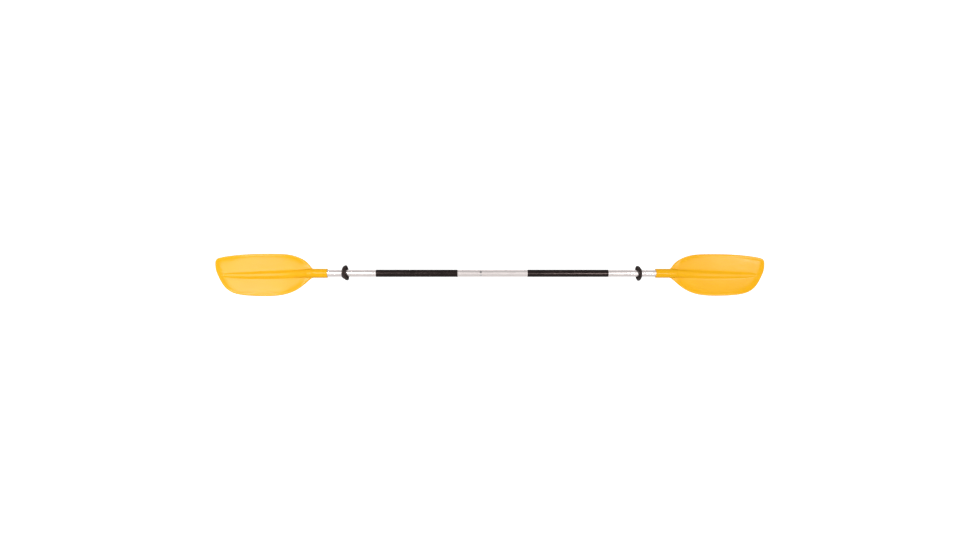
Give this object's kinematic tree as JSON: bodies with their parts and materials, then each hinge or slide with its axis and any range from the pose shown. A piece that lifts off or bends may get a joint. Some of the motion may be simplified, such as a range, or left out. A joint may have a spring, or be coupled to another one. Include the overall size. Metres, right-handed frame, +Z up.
{
  "type": "kayak paddle",
  "caption": "Take-apart kayak paddle: a blade on each end of a tubular shaft, a push-button joint that sets the blade angle, sleeve grips and sliding drip rings.",
  "frame": {"origin": "on the shaft axis at the seam of the take-apart joint, where the two halves meet", "axes": "+X along the shaft from the left blade to the right blade, +Z up with the blades' longer edges on top, -Y the way both power faces look"},
  "size_m": [2.2, 0.0616, 0.1698],
  "materials": {
    "blade_plastic": "satin",
    "shaft_aluminium": "satin",
    "ferrule_aluminium": "satin",
    "rivet_aluminium": "satin",
    "seal_rubber": "satin",
    "cap_plastic": "matte",
    "button_steel": "satin",
    "spring_steel": "satin",
    "grip_rubber": "matte",
    "drip_ring_rubber": "matte",
    "plug_foam": "matte"
  },
  "bodies": {
    "left_half": {"left_shaft_tube": "shaft_aluminium", "left_blade": "blade_plastic", "left_blade_rivet": "rivet_aluminium", "left_grip": "grip_rubber", "left_tube_plug": "plug_foam", "left_bulkhead": "plug_foam"},
    "seal_ring": {"ferrule_seal": "seal_rubber"},
    "right_half": {"right_shaft_tube": "shaft_aluminium", "right_blade": "blade_plastic", "right_blade_rivet": "rivet_aluminium", "right_grip": "grip_rubber", "right_tube_plug": "plug_foam", "right_bulkhead": "plug_foam", "ferrule": "ferrule_aluminium", "ferrule_rivets": "rivet_aluminium", "ferrule_cap": "cap_plastic", "button_spring": "spring_steel"},
    "button": {"snap_button": "button_steel"},
    "left_ring": {"left_drip_ring": "drip_ring_rubber"},
    "right_ring": {"right_drip_ring": "drip_ring_rubber"}
  },
  "joints": [
    {"name": "ferrule_pull", "type": "slide", "parent": "left_half", "child": "seal_ring", "axis": [1, 0, 0], "range_m": [0, 0.16], "deforming": ["snap_button"]},
    {"name": "feather_twist", "type": "hinge", "parent": "seal_ring", "child": "right_half", "pos_m": [0, 0, 0], "axis": [1, 0, 0], "range_deg": [-60, 60], "deforming": ["snap_button"]},
    {"name": "button_press", "type": "slide", "parent": "right_half", "child": "button", "axis": [0, 0.9397, -0.342], "range_m": [0, 0.0041], "stiffness_N_per_m": 600, "springref_m": -0.002, "deforming": ["button_spring"]},
    {"name": "left_ring_slide", "type": "slide", "parent": "left_half", "child": "left_ring", "axis": [1, 0, 0], "range_m": [-0.055, 0.11]},
    {"name": "right_ring_slide", "type": "slide", "parent": "right_half", "child": "right_ring", "axis": [1, 0, 0], "range_m": [-0.11, 0.055]}
  ]
}
